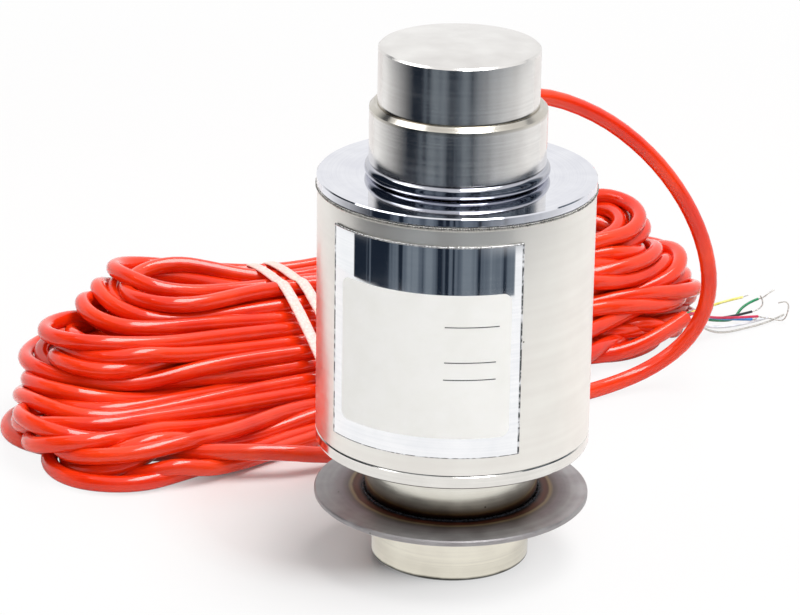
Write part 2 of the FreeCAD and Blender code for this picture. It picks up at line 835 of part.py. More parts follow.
def make_cable():
    """Cable in the gland, the free lead, the hank with its tie, and the last stretch."""
    radius = size["cable_radius"].value
    height = gland_height.value
    entry = Part.makeCylinder(radius, (nut_end - boss_start).value,
                              Vector(0, boss_start.value, height), Vector(0, 1, 0))
    bundle = tube_shape(
        [(0, boss_start.value, height), (0, chip_circle.value, height),
         (0, chip_circle.value, terminal_top.value)], size["cores_radius"].value, "cores")
    inner_cable = doc.addObject("Part::Feature", "inner_cable")
    inner_cable.Label = "inner_cable"
    inner_cable.Shape = entry.fuse(bundle).removeSplitter()

    lead = tube("cable_lead", LEAD_ROUTE, radius)
    tail = tube("cable_tail", TAIL_ROUTE, radius)
    thickness = size["tie_thickness"].value
    gap = size["fit_gap"].value
    wraps = [tied_slice(place, 0).cut(tied_slice(place, thickness)) for place in TIE_PLACES]
    grooves = [tied_slice(place, 0).cut(tied_slice(place, thickness + gap)) for place in TIE_PLACES]
    turns = Part.makeLoft([hank_outline(*section) for section in HANK_SECTIONS], True, True)
    hank = doc.addObject("Part::Feature", "cable_hank")
    hank.Label = "cable_hank"
    hank.Shape = above(turns, HANK_FLOOR).cut(Part.makeCompound([lead.Shape, tail.Shape] + grooves))
    tie = doc.addObject("Part::Feature", "hank_tie")
    tie.Label = "hank_tie"
    tie.Shape = Part.makeCompound(wraps)


# Where each core starts on the cut end, in degrees from its left side, where it ends,
# and how far it bows to the left on its way
CORES = {
    "core_yellow": (0.0, (98.8, 198, 5), 2.0),
    "core_green": (60.0, (103.7, 196.3, 5.5), 1.0),
    "core_black": (300.0, (101.7, 190.6, 2.2), 0.6),
    "core_blue": (240.0, (101.5, 186.5, 0.8), -0.8),
    "core_red": (120.0, (103.9, 184.5, 3.0), -1.2),
    "core_white": (180.0, (112.2, 182.5, 1.0), -2.5),
}
DRAIN_TIP = (114.7, 199, 2.5)
CORE_STUB = 8.0


def make_cores():
    """The stripped cores and the bare drain wire, fanned out from the jacket's cut end."""
    cut_end = Vector(*TAIL_ROUTE[-1])
    outward = (cut_end - Vector(*TAIL_ROUTE[-2])).normalize()
    left = Vector(-outward.y, outward.x, 0).normalize()
    upright = outward.cross(left)
    pitch = size["core_pitch"].value
    for label, (angle, tip, bow) in CORES.items():
        turn = math.radians(angle)
        start = cut_end + left * (pitch * math.cos(turn)) + upright * (pitch * math.sin(turn))
        bend = start + outward * CORE_STUB
        halfway = (bend + Vector(*tip)) * 0.5 + left * bow
        tube(label, [tuple(point) for point in (start, bend, halfway, Vector(*tip))],
             size["core_radius"].value)
    bend = cut_end + outward * CORE_STUB
    halfway = (bend + Vector(*DRAIN_TIP)) * 0.5 + upright
    tube("drain_wire", [tuple(point) for point in (cut_end, bend, halfway, Vector(*DRAIN_TIP))],
         size["drain_radius"].value)


def check_document():
    """Stops when any object failed, or any sub-part has no valid solid."""
    doc.recompute()
    for item in doc.Objects:
        if "Invalid" in item.State or "Error" in item.State:
            raise ValueError(f"{item.Name} failed: {item.State}")
    nodes = [item for item in doc.Objects
             if item.TypeId in ("PartDesign::Body", "Part::Feature") and item.Label == item.Name]
    for node in nodes:
        if node.Shape.isNull() or not node.Shape.isValid() or not node.Shape.Solids:
            raise ValueError(f"{node.Label} has no valid solid")
    return nodes


def export(nodes):
    for node in nodes:
        node.Shape.exportStep(f"parts/{node.Label}.step")
        box = node.Shape.BoundBox
        print(f"{node.Label}: volume {node.Shape.Volume:.1f}, z {box.ZMin:.2f} to {box.ZMax:.2f}")


make_column()
make_housing()
make_retaining_plate()
make_nameplate()
make_gauges()
make_board()
make_gland()
make_cable()
make_cores()
export(check_document())
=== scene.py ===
"""Column load cell standing on a white table, with its cable tied in a loose hank behind it.

Metres, +Z up, in the frame of the part. After the studio, each section makes one piece of the
object or one group of pieces, from the cable behind the cell to its steels and its inside,
and holds their sizes and finish. Sizes are written in millimetres and turned to metres where
a mesh or a pattern needs them. Those of the table, the screen and the lamps are in metres.
"""
import math

import bpy
import numpy as np
from mathutils import Matrix, Vector


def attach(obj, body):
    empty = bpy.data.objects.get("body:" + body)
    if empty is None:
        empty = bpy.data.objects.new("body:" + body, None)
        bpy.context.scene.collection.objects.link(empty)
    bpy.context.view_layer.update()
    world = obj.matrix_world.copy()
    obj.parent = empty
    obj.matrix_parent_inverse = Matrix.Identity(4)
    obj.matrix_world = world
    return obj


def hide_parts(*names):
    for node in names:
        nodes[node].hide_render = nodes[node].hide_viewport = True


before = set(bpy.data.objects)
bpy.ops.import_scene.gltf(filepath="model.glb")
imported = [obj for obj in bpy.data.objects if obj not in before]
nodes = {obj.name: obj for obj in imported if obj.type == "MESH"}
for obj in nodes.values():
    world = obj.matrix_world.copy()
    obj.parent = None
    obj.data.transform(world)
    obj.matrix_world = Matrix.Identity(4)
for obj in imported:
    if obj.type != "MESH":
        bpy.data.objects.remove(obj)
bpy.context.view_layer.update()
scene = bpy.context.scene
scene.view_settings.view_transform = "Standard"


def add_object(name, data):
    """A new object of the scene, made of the given data."""
    thing = bpy.data.objects.new(name, data)
    scene.collection.objects.link(thing)
    return thing


# Camera
# A long lens on a stand in front of the table, a little above the cell and very slightly
# rolled, as a product photographer sets it for a catalogue view.
MM = 0.001
CAMERA_PLACE = Vector((-15.0, -934.2, 423.7)) * MM
CAMERA_PITCH = math.radians(20.545)
CAMERA_ROLL = math.radians(0.884)
photo_camera = bpy.data.cameras.new("catalogue_view")
photo_camera.lens = 163.08
photo_camera.sensor_width = 36.0
photo_camera.clip_start = 0.05
camera_stand = add_object("catalogue_view", photo_camera)
camera_stand.matrix_world = (
    Matrix.Translation(CAMERA_PLACE)
    @ Matrix.Rotation(math.pi / 2 - CAMERA_PITCH, 4, "X")
    @ Matrix.Rotation(CAMERA_ROLL, 4, "Z")
)
scene.camera = camera_stand


# Table
# A white acrylic table top, lit so brightly that it shows as plain white, but for a soft
# shade round the foot.
def linear(hex_colour):
    """A linear RGBA colour from an sRGB hex string."""
    parts = [int(hex_colour[i:i + 2], 16) / 255 for i in (1, 3, 5)]
    return [p / 12.92 if p <= 0.04045 else ((p + 0.055) / 1.055) ** 2.4 for p in parts] + [1.0]


def add_node(tree, kind, links=None, stops=None, **settings):
    """One node with its settings; links maps its inputs to sockets or values."""
    node = tree.nodes.new(kind if "Node" in kind else "ShaderNode" + kind)
    for name, value in settings.items():
        setattr(node, name, value)
    for name, value in (links or {}).items():
        if isinstance(value, bpy.types.NodeSocket):
            tree.links.new(value, node.inputs[name])
        else:
            node.inputs[name].default_value = value
    if stops:
        ends = node.color_ramp.elements
        ends[0].position, ends[1].position = stops[0][0], stops[-1][0]
        for place, _ in stops[1:-1]:
            ends.new(place)
        for end, (_, colour) in zip(ends, stops):
            end.color = linear(colour)
    return node


def new_material(name, **sockets):
    """A material, its tree and its Principled shader, with the given plain socket values."""
    material = bpy.data.materials.new(name)
    material.use_nodes = True
    tree = material.node_tree
    shader = tree.nodes["Principled BSDF"]
    for socket, value in sockets.items():
        shader.inputs[socket.replace("_", " ")].default_value = value
    return material, tree, shader


def axis_places(tree):
    """Sockets of a point: itself, its distance from the column's axis, its height, its angle."""
    spot = add_node(tree, "TexCoord").outputs["Object"]
    parts = add_node(tree, "SeparateXYZ", {0: spot}).outputs
    level = add_node(tree, "VectorMath", {0: spot, 1: (1, 1, 0)}, operation="MULTIPLY").outputs[0]
    radius = add_node(tree, "VectorMath", {0: level}, operation="LENGTH").outputs["Value"]
    front = add_node(tree, "Math", {0: parts["Y"], 1: -1.0}, operation="MULTIPLY").outputs[0]
    angle = add_node(tree, "Math", {0: parts["X"], 1: front}, operation="ARCTAN2").outputs[0]
    return spot, radius, parts["Z"], angle


def mixed(tree, share, under, over, blend="MIX"):
    """Socket of one colour laid over another by a share from 0 to 1."""
    return add_node(tree, "Mix", {0: share, 6: under, 7: over}, data_type="RGBA",
                    blend_type=blend).outputs[2]


TABLE_HALF = 1.6
SHADE_MIDDLE, SHADE_REACH = (-0.03, 0.03, 0.0), 0.8
# How much of the table shows as plain white, by distance from the middle of the shade in
# shares of its reach: little at the foot, where the shadow stays, and all of it far out.
WHITE_SHARES = [(0.0, "#000000"), (0.05, "#303030"), (0.072, "#D0D0D0"), (0.1, "#F4F4F4"),
                (0.45, "#E8E8E8"), (0.8, "#FFFFFF")]
# For reflections only, the table also glows: polished steel mirrors it as painted light, bright in
# front of the cell, and as painted shade, dim, between it and the hank. The change lies between two
# places along Y.
BRIGHT_TO, DIM_FROM = -0.02, 0.04
BRIGHT_SHARE, DIM_SHARE = 0.82, 0.15
# Cast acrylic sheet: an even warm white with a satin gloss.
table_white, tree, shader = new_material(
    "white_acrylic_table", Base_Color=linear("#E2DEDD"), Roughness=0.35)
spot = add_node(tree, "TexCoord").outputs["Object"]
depth = add_node(tree, "SeparateXYZ", {0: spot}).outputs["Y"]
# Painted light and shade in reflections: the share of white glow that polished steel sees on the
# table
mirrored = add_node(tree, "MapRange", {
    "Value": depth, "From Min": BRIGHT_TO, "From Max": DIM_FROM, "To Min": BRIGHT_SHARE,
    "To Max": DIM_SHARE}).outputs[0]
spot = add_node(tree, "VectorMath", {0: spot, 1: SHADE_MIDDLE}, operation="SUBTRACT").outputs[0]
far = add_node(tree, "VectorMath", {0: spot}, operation="LENGTH").outputs["Value"]
far = add_node(tree, "MapRange", {"Value": far, "From Max": SHADE_REACH}).outputs[0]
white = add_node(tree, "ValToRGB", {"Fac": far}, WHITE_SHARES).outputs[0]
rays = add_node(tree, "LightPath").outputs
seen = add_node(tree, "Math", {0: white, 1: rays["Is Camera Ray"]}, operation="MULTIPLY")
share = add_node(tree, "Math", {0: rays["Is Glossy Ray"], 1: mirrored, 2: seen.outputs[0]},
                 operation="MULTIPLY_ADD")
glow = add_node(tree, "Emission", {"Color": (1, 1, 1, 1)})
blend = add_node(tree, "MixShader", {
    0: share.outputs[0], 1: shader.outputs[0], 2: glow.outputs[0]})
tree.links.new(blend.outputs[0], tree.nodes["Material Output"].inputs["Surface"])
table_mesh = bpy.data.meshes.new("table")
table_mesh.from_pydata(
    [(-TABLE_HALF, -TABLE_HALF, 0), (TABLE_HALF, -TABLE_HALF, 0),
     (TABLE_HALF, TABLE_HALF, 0), (-TABLE_HALF, TABLE_HALF, 0)], [], [(0, 1, 2, 3)])
table_mesh.materials.append(table_white)
table = add_object("table", table_mesh)

# Dark screen
# A curved dark cloth round the front of the cell, drawn as a faint glow that paints dark
# reflections.
# The polished steels mirror it as the dark half of the studio, but the camera doesn't see it, and
# it neither lights nor shades anything.
SCREEN_RADIUS, SCREEN_BOTTOM, SCREEN_TOP = 0.225, 0.0205, 0.29
SCREEN_FROM, SCREEN_TO, SCREEN_STEPS = -135, 125, 80
# Its ends fade into the white room, in three bands with a top each, at four turns in degrees:
# where the cloth starts, is full, begins to thin and is gone. Only rounded edges mirror the
# top band. The button mirrors the next, which fades slowly, and the nameplate the sharp lowest.
SCREEN_BANDS = [(SCREEN_TOP, (-134, -120, 112, 124)), (0.088, (-122, -66, 14, 100)),
                (0.034, (-85.5, -84.5, 44, 45))]
BAND_BLEND = 0.004
# The cloth hangs in folds, which are stretched upright, and its left end has painted shade
FOLDS_PER_METRE, UPRIGHT_FOLDS = 34.0, (1, 1, 0.05)
SHADED_TO, LIT_FROM = math.radians(-62), math.radians(-50)
SHADED_TONE, LIT_TONE = -0.16, 0.05
# Dark blue-grey cloth, drawn as a glow: dull, in soft upright folds, and darkest at its left end,
# where shade is painted.
screen_grey, tree, shader = new_material("dark_studio_cloth", Roughness=0.8)
spot, _, height, turn = axis_places(tree)
dark = 0.0
for band_top, edges in SCREEN_BANDS:
    start, full, thins, gone = (math.radians(edge) for edge in edges)
    rise = add_node(tree, "MapRange", {"Value": turn, "From Min": start, "From Max": full})
    fall = add_node(tree, "MapRange", {"Value": turn, "From Min": gone, "From Max": thins})
    band = add_node(tree, "Math", {0: rise.outputs[0], 1: fall.outputs[0]},
                    operation="MULTIPLY").outputs[0]
    below = add_node(tree, "MapRange", {"Value": height, "From Min": band_top + BAND_BLEND,
                                        "From Max": band_top}).outputs[0]
    dark = add_node(tree, "Mix", {0: below, 2: dark, 3: band}).outputs[0]
folds = add_node(tree, "VectorMath", {0: spot, 1: UPRIGHT_FOLDS}, operation="MULTIPLY").outputs[0]
cloth = add_node(tree, "TexNoise", {"Vector": folds, "Scale": FOLDS_PER_METRE, "Detail": 2.0})
# Painted shade: the glow is made darker towards the cloth's left end
shade = add_node(tree, "MapRange", {"Value": turn, "From Min": SHADED_TO, "From Max": LIT_FROM,
                                    "To Min": SHADED_TONE, "To Max": LIT_TONE}).outputs[0]
cloth = add_node(tree, "Math", {0: cloth.outputs["Fac"], 1: shade}, operation="ADD").outputs[0]
tone = add_node(tree, "ValToRGB", {"Fac": cloth},
                [(0.41, "#1D2531"), (0.46, "#555E69"), (0.62, "#757E87")])
tone = mixed(tree, dark, (1, 1, 1, 1), tone.outputs[0])
glow = add_node(tree, "Emission", {"Color": tone, "Strength": 1.0})
tree.links.new(glow.outputs[0], tree.nodes["Material Output"].inputs["Surface"])
verts, faces = [], []
for step in range(SCREEN_STEPS + 1):
    turn = math.radians(SCREEN_FROM + (SCREEN_TO - SCREEN_FROM) * step / SCREEN_STEPS)
    side, front = SCREEN_RADIUS * math.sin(turn), -SCREEN_RADIUS * math.cos(turn)
    verts += [(side, front, SCREEN_BOTTOM), (side, front, SCREEN_TOP)]
    if step:
        faces.append((2 * step - 2, 2 * step, 2 * step + 1, 2 * step - 1))
screen_mesh = bpy.data.meshes.new("dark_screen")
screen_mesh.from_pydata(verts, [], faces)
screen_mesh.materials.append(screen_grey)
dark_screen = add_object("dark_screen", screen_mesh)
dark_screen.visible_camera = dark_screen.visible_diffuse = dark_screen.visible_shadow = False

# Room and lamps
# A white room, which the camera and the steels see as white while it lights the object only
# softly, with three soft boxes: one above and to the right, one at the left, one in front.
ROOM_LIGHT, MIRRORED_LIGHT = 0.38, 1.0
world = bpy.data.worlds.new("studio")
world.use_nodes = True
scene.world = world
tree = world.node_tree
seen = add_node(tree, "LightPath")
mirrored = add_node(tree, "Mix", {
    0: seen.outputs["Is Glossy Ray"], 2: ROOM_LIGHT, 3: MIRRORED_LIGHT})
shown = add_node(tree, "Mix", {0: seen.outputs["Is Camera Ray"], 2: mirrored.outputs[0], 3: 1.0})
tree.links.new(shown.outputs[0], tree.nodes["Background"].inputs["Strength"])
tree.nodes["Background"].inputs["Color"].default_value = (1, 1, 1, 1)


def soft_lamp(name, place, aim, size, power):
    """A soft box of a width and a depth at a place, all in metres, facing a point."""
    lamp = bpy.data.lights.new(name, "AREA")
    lamp.shape = "RECTANGLE"
    lamp.size, lamp.size_y = size
    lamp.energy = power
    stand = add_object(name, lamp)
    stand.location = place
    stand.rotation_euler = (Vector(aim) - Vector(place)).to_track_quat("-Z", "Y").to_euler()


soft_lamp("top_softbox", (0.25, 0.05, 1.12), (0, 0.05, 0), (1.1, 0.4), 13)
soft_lamp("left_softbox", (-0.8, 0.0, 1.0), (0, 0.05, 0.05), (0.6, 0.6), 3)
soft_lamp("front_softbox", (0.3, -1.3, 0.8), (0, 0, 0.08), (1.1, 1.1), 4.6)

# Cable
# A 5 mm signal cable in a smooth orange-red jacket. It leaves the gland at the cell's back,
# arches to the right and down to the table, and its whole length is wound into a hank of
# long loose turns, tied once, whose ends fan out.
CABLE_DIAMETER = 5.0
# Turns that bend tighter than this radius, to the cable's middle, are pushed open
LEAST_BEND = 15.5
LEAD_ROUTE = [
    (0, 59.5, 98), (0, 79, 98), (6, 99, 100), (24, 117, 100.5), (44.5, 126, 91.2),
    (61, 129.5, 77.8), (73.2, 130, 62), (80.4, 129.5, 45.5), (82.2, 130, 30),
    (76.8, 130.8, 15.8), (65.2, 129.3, 6.2), (50.5, 121.5, 2.6), (35.5, 111, 2.6),
    (13, 93, 2.7), (-10, 76, 2.6), (-32, 60.5, 3.2), (-50, 52.5, 7.8), (-73, 51.5, 7.8),
    (-94, 58, 4.2),
]
TAIL_ROUTE = [(45, 143, 4), (57, 146.5, 4.6), (69, 154, 7.6), (77.5, 163, 10.5)]
HANK_START = np.array([-128.0, 80.0, 0.0])
HANK_END = np.array([86.0, 175.0, 0.0])
ALONG = (HANK_END - HANK_START) / np.linalg.norm(HANK_END - HANK_START)
ACROSS = np.array([-ALONG[1], ALONG[0], 0.0])
FLOOR_HEIGHT = CABLE_DIAMETER / 2 + 0.1
TURNS = 25
# Every second turn is an inner one, whose ends are this much less wide on each side
INNER_SHRINK = 3.0

# Where the tie gathers the turns: its place and half width along the hank, the height of the
# lowest turn and its rise to the top one, and the places across of a turn's near and far run,
# each as that of the lowest turn, its change up to the top one and its change on an inner turn
TIE_AT, TIED_HALF = 90.0, 6
TIED_HEIGHT, TIED_RISE = 2.7, 31.0
NEAR_RUN, NEAR_RISE, NEAR_INNER = -35.0, 50.0, 10.0
FAR_RUN, FAR_RISE, FAR_INNER = 38.0, -11.0, -9.0
RUNS_APART = 6.0
# Shares of the way from the right fold to the tie that get a point, and how far they reach
NEAR_SHARES, NEAR_REACH = (0.35, 0.7), 0.8
FOLD_POINTS = 7
# Places worked out along the smooth curve between one point of the route and the next
CURVE_SAMPLES = 8

# Ends of the turns by level, from the bottom front (0) to the top back (1):
# level, along, across, height, half width
LEFT_ENDS = np.array([
    (0.00, 4, -30, 3, 22), (0.12, -3, -32, 8, 22), (0.25, -10, -25, 13, 23),
    (0.40, -2, -2, 17, 24), (0.55, 6, 9, 22, 22), (0.70, 9, 5, 28, 20),
    (0.85, 23, 20, 33, 17), (1.00, 35, 26, 37, 15.5),
])
RIGHT_ENDS = np.array([
    (0.00, 225, 11, 3, 19), (0.10, 233, 15, 7, 19), (0.25, 240, 19, 12, 19),
    (0.40, 237, 21, 18, 19), (0.55, 233, 23, 23, 18), (0.70, 229, 25, 27, 17),
    (0.85, 225, 28, 30, 16), (1.00, 221, 30, 32, 15.5),
])
# The two lowest left folds as they lie on the table: (along, across, height)
FIRST_FOLD = [(7, -22, 3), (-5, -17, 2.7), (-9, -5, 2.7), (-4, 8, 2.7), (8, 16, 2.7), (26, 18, 3)]
SECOND_FOLD = [(96, -29, 2.7), (83, -31, 2.7), (57, -42, 2.6), (35, -51, 2.6), (16, -55, 2.7),
               (2, -50, 2.7), (-5, -38, 2.7), (-3, -24, 2.7), (8, -14, 2.7), (26, -8, 2.7)]


def at_level(ends, level):
    """The place and half width of one end of a turn at a level."""
    return [float(np.interp(level, ends[:, 0], ends[:, column])) for column in range(1, 5)]


def hank_place(along, across, height):
    """A place on the table from the hank's own directions, in millimetres."""
    return HANK_START + ALONG * along + ACROSS * across + np.array([0, 0, height])


def fold_points(along, across, height, half, start):
    """Points on half a circle, level and clockwise from a start angle in degrees."""
    angles = [math.radians(start - 180 * step / (FOLD_POINTS - 1)) for step in range(FOLD_POINTS)]
    return [(along + half * math.cos(angle), across + half * math.sin(angle), height)
            for angle in angles]


def turn_points(level, inner, spread):
    """One long turn: near run to the left, left fold, far run to the right, right fold."""
    left_along, left_across, left_height, left_half = (
        value + stray for value, stray in zip(at_level(LEFT_ENDS, level), spread[0]))
    right_along, right_across, right_height, right_half = (
        value + stray for value, stray in zip(at_level(RIGHT_ENDS, level), spread[1]))
    left_half = max(LEAST_BEND, left_half - INNER_SHRINK * inner)
    right_half = max(LEAST_BEND, right_half - INNER_SHRINK * inner)
    tied_height = TIED_HEIGHT + TIED_RISE * level
    far_run = FAR_RUN + FAR_RISE * level + FAR_INNER * inner + spread[2][1]
    near_run = NEAR_RUN + NEAR_RISE * level + NEAR_INNER * inner + spread[2][0]
    near_run = min(near_run, far_run - RUNS_APART)
    left_fold, right_fold = left_along + left_half, right_along - right_half
    points = []
    for share in NEAR_SHARES:
        points.append((right_fold - (right_fold - TIE_AT) * share * NEAR_REACH,
                       (right_across - right_half) * (1 - share) + near_run * share,
                       right_height * (1 - share) + tied_height * share))
    points += [(TIE_AT + TIED_HALF, near_run, tied_height),
               (TIE_AT - TIED_HALF, near_run, tied_height)]
    points.append(((left_fold + TIE_AT) / 2, (left_across - left_half + near_run) / 2,
                   (left_height + tied_height) / 2))
    points += fold_points(left_fold, left_across, left_height, left_half, -90)
    points.append(((left_fold + TIE_AT) / 2, (left_across + left_half + far_run) / 2,
                   (left_height + tied_height) / 2))
    points += [(TIE_AT - TIED_HALF, far_run, tied_height),
               (TIE_AT + TIED_HALF, far_run, tied_height)]
    points.append(((right_fold + TIE_AT) / 2, (right_across + right_half + far_run) / 2,
                   (right_height + tied_height) / 2))
    points += fold_points(right_fold, right_across, right_height, right_half, 90)
    return [hank_place(*point) for point in points]


def evenly_spaced(points, step):
    """Points at even steps along a smooth curve through the given ones."""
    points = np.array(points)
    ends = np.vstack([2 * points[0] - points[1], points, 2 * points[-1] - points[-2]])
    share = np.linspace(0, 1, CURVE_SAMPLES + 1)[:-1, None]
    line = []
    for a, b, c, d in zip(ends, ends[1:], ends[2:], ends[3:]):
        line.append(0.5 * (2 * b + (c - a) * share + (2 * a - 5 * b + 4 * c - d) * share ** 2
                           + (3 * b - a - 3 * c + d) * share ** 3))
    line = np.vstack(line + [points[-1:]])
    run = np.concatenate([[0], np.cumsum(np.linalg.norm(np.diff(line, axis=0), axis=1))])
    places = np.linspace(0, run[-1], int(round(run[-1] / step)) + 1)
    return np.stack([np.interp(places, run, line[:, axis]) for axis in range(3)], axis=1)


def push(points, first, second, least, strength, most=None):
    """Moves pairs of points apart to a least distance, or together to a most."""
    gap = points[second] - points[first]
    length = np.maximum(np.linalg.norm(gap, axis=1), 1e-6)
    short = np.maximum(least - length, 0)
    if most is not None:
        short = short - np.maximum(length - most, 0)
    move = gap * (strength * short / length / 2)[:, None]
    for axis in range(3):
        points[:, axis] -= np.bincount(first, move[:, axis], len(points))
        points[:, axis] += np.bincount(second, move[:, axis], len(points))


# How the turns settle: the pairs of points that may touch are listed anew every few rounds,
# out to a margin and not along one turn, bends are held open over a few points, and each
# round parts, opens, evens and draws home by these shares and sinks by this much
TOUCH_GAP, LIST_EVERY, LIST_MARGIN, LIST_APART = 0.25, 10, 3.0, 3
BEND_REACH, ROUNDS, QUICK_ROUNDS = 4, 400, 60
PARTING, OPENING, EVENING, HOMING, SINKING = 0.6, 0.3, 0.15, 0.004, 0.02


def settle(points, held, step, rounds):
    """Turns that lie in each other are pushed apart and sink until they rest on others."""
    home = points.copy()
    order = np.arange(len(points))
    even, odd = order[:-1:2], order[1:-1:2]
    bend_least = 2 * LEAST_BEND * math.sin(BEND_REACH * step / (2 * LEAST_BEND))
    touching = CABLE_DIAMETER + TOUCH_GAP
    for turn in range(rounds):
        if turn % LIST_EVERY == 0:
            square = (points ** 2).sum(1)
            apart = square[:, None] + square[None, :] - 2 * points @ points.T
            first, second = np.nonzero(np.triu(apart < (touching + LIST_MARGIN) ** 2, LIST_APART))
        before = points.copy()
        push(points, first, second, touching, PARTING)
        push(points, order[:-BEND_REACH], order[BEND_REACH:], bend_least, OPENING)
        points[1:-1] += EVENING * ((points[:-2] + points[2:]) / 2 - points[1:-1])
        points += HOMING * (home - points)
        points[:, 2] -= SINKING
        for group in (even, odd):
            push(points, group, group + 1, step, 1.0, step)
        points[:, 2] = np.maximum(points[:, 2], FLOOR_HEIGHT)
        points[held] = before[held]
    return points


# How far a turn strays from its place: its left and its right end along, across, in height
# and in half width, and its near and far run at the tie
LEFT_STRAY, RIGHT_STRAY, TIED_STRAY = (5, 4, 1.0, 4), (5, 4, 1.0, 3), (1.5, 2)
STEP = 6.0
# The winding starts with the lead's last points, on the table. In the first two turns, the
# lowest folds take the place of the left ones, with what leads up to them. After the middle
# of the last far run, the tail takes over.
LEAD_LAID, LEFT_FOLD_DONE, LAST_RIGHT_FOLD = 7, 5 + FOLD_POINTS, 1 + FOLD_POINTS
chance = np.random.RandomState(11)
# Up through every second level, and down again through the rest
levels = np.concatenate([np.arange(0, TURNS, 2), np.arange(1, TURNS, 2)[::-1]]) / (TURNS - 1)
wound = LEAD_ROUTE[-LEAD_LAID:]
for number, level in enumerate(levels):
    spread = [chance.uniform(-1, 1, len(stray)) * stray
              for stray in (LEFT_STRAY, RIGHT_STRAY, TIED_STRAY)]
    points = turn_points(level, number % 2, spread)
    if number < 2:
        fold = [hank_place(*place) for place in (FIRST_FOLD, SECOND_FOLD)[number]]
        points = points[:len(NEAR_SHARES) * number] + fold + points[LEFT_FOLD_DONE:]
    wound += points
coil = evenly_spaced(wound[:-LAST_RIGHT_FOLD] + TAIL_ROUTE, STEP)
# The lead and the tail are held, and only what lies between them settles
order = np.arange(len(coil))
nearest_lead = np.linalg.norm(coil - LEAD_ROUTE[-1], axis=1) + order
nearest_tail = np.linalg.norm(coil - TAIL_ROUTE[0], axis=1) + order[::-1]
loose_from, loose_to = nearest_lead.argmin() + 2, nearest_tail.argmin() - 2
held = (order < loose_from) | (order > loose_to)
coil = settle(coil, held, STEP, ROUNDS)
route = LEAD_ROUTE + [tuple(place) for place in coil[loose_from:loose_to:2]] + TAIL_ROUTE


def round_curve(name, radius, steps_along, steps_round):
    """A curve of a round section, with closed ends and as yet no line."""
    curve = bpy.data.curves.new(name, "CURVE")
    curve.dimensions = "3D"
    curve.resolution_u = steps_along
    curve.bevel_depth = radius * MM
    curve.bevel_resolution = steps_round
    curve.use_fill_caps = True
    return curve


def add_line(curve, places, thickness=1.0, slot=0):
    """Adds a smooth line near the places, of a share of the curve's radius."""
    line = curve.splines.new("NURBS")
    line.points.add(len(places) - 1)
    for point, place in zip(line.points, places):
        point.co = (*(Vector(place) * MM), 1)
        point.radius = thickness
    line.order_u = 3
    line.use_endpoint_u = True
    line.material_index = slot


cable_curve = round_curve("signal_cable", CABLE_DIAMETER / 2, 4, 6)
add_line(cable_curve, route)
signal_cable = add_object("signal_cable", cable_curve)


# The values of a noise at which a colour has its dark and its light end, and those at which
# the roughness has its glossy and its dull end
NOISE_DARK, NOISE_LIGHT = 0.35, 0.65
NOISE_GLOSSY, NOISE_DULL = 0.3, 0.7


def grained(name, dark, light, grain, gloss, relief=0.0, **sockets):
    """A material whose colour, gloss and relief follow one noise with a grain in millimetres."""
    material, tree, shader = new_material(name, **sockets)
    spot = add_node(tree, "TexCoord").outputs["Object"]
    noise = add_node(tree, "TexNoise", {"Vector": spot, "Scale": 1 / (grain * MM), "Detail": 4.0})
    noise = noise.outputs["Fac"]
    tone = add_node(tree, "ValToRGB", {"Fac": noise}, [(NOISE_DARK, dark), (NOISE_LIGHT, light)])
    tree.links.new(tone.outputs[0], shader.inputs["Base Color"])
    rough = add_node(tree, "MapRange", {
        "Value": noise, "From Min": NOISE_GLOSSY, "From Max": NOISE_DULL,
        "To Min": gloss[0], "To Max": gloss[1]})
    tree.links.new(rough.outputs[0], shader.inputs["Roughness"])
    if relief:
        bump = add_node(tree, "Bump", {"Distance": relief * MM, "Height": noise})
        tree.links.new(bump.outputs[0], shader.inputs["Normal"])
    return material


# Polyurethane jacket, extruded smooth: saturated orange-red with a clear sharp gloss, and
# faintly duller patches a centimetre or two long where it was handled.
jacket = grained("extruded_polyurethane_jacket", "#E02A07", "#F03C10", 16.0, (0.09, 0.16), 0.02,
                 Coat_Weight=0.3, Coat_Roughness=0.04, Specular_IOR_Level=0.4)
cable_curve.materials.append(jacket)

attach(signal_cable, "root")
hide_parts("cable_lead", "cable_hank", "cable_tail")

# Tie
# A flat strip of pale elastic, 3.6 mm wide, pulled twice round the hank, where it lies tight
# over the outermost turns.
TIE_WIDTH, TIE_THICKNESS, TIE_STEPS = 3.6, 0.8, 120
# Where each wrap crosses the hank, and how far it sways along it on its way round
TIE_WRAPS = [(92.5, 6.5), (100.0, 8.0)]
TIE_LEAN = math.radians(60)
# A wrap goes over the turns within this margin of it, but not over those that lie loose in
# front, and it is smoothed this many times and clears the table by this much.
WRAP_MARGIN, LOOSE_BEYOND, WRAP_SMOOTHING, WRAP_LIFT = 1.0, -44.0, 6, 0.05
